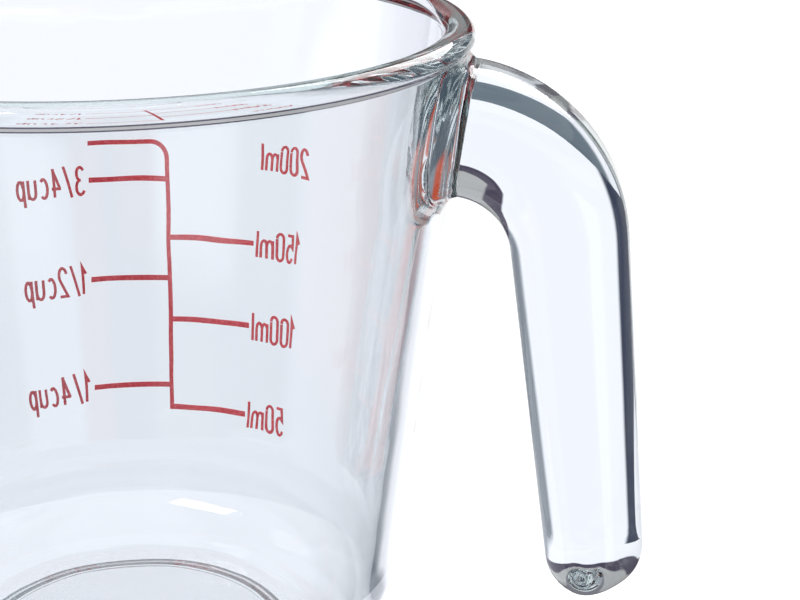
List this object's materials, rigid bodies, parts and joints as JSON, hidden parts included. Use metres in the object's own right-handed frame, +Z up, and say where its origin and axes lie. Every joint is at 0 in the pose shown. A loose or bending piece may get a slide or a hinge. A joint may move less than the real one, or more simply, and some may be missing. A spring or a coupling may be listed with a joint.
{
  "type": "measuring jug",
  "caption": "Small clear pressed-glass measuring jug with a pouring lip, an open-ended strap handle and a red printed volume scale.",
  "frame": {"origin": "centre of the foot ring on the plane that the jug stands on", "axes": "+Z up along the jug's axis, +X towards the handle, -X towards the pouring lip, +Y towards the printed scale"},
  "size_m": [0.1215, 0.091, 0.086],
  "materials": {
    "pressed_glass": "fire-polished clear soda-lime glass with a faint green-grey edge tint",
    "red_enamel": "screen-printed vitreous enamel, fired on, slightly glossy"
  },
  "bodies": {
    "root": {"vessel": "pressed_glass", "handle": "pressed_glass", "scale_line": "red_enamel", "metric_marks": "red_enamel", "quarter_cup_marks": "red_enamel", "label_50_ml": "red_enamel", "label_100_ml": "red_enamel", "label_150_ml": "red_enamel", "label_200_ml": "red_enamel", "label_quarter_cup": "red_enamel", "label_half_cup": "red_enamel", "label_three_quarter_cup": "red_enamel"}
  },
  "joints": []
}
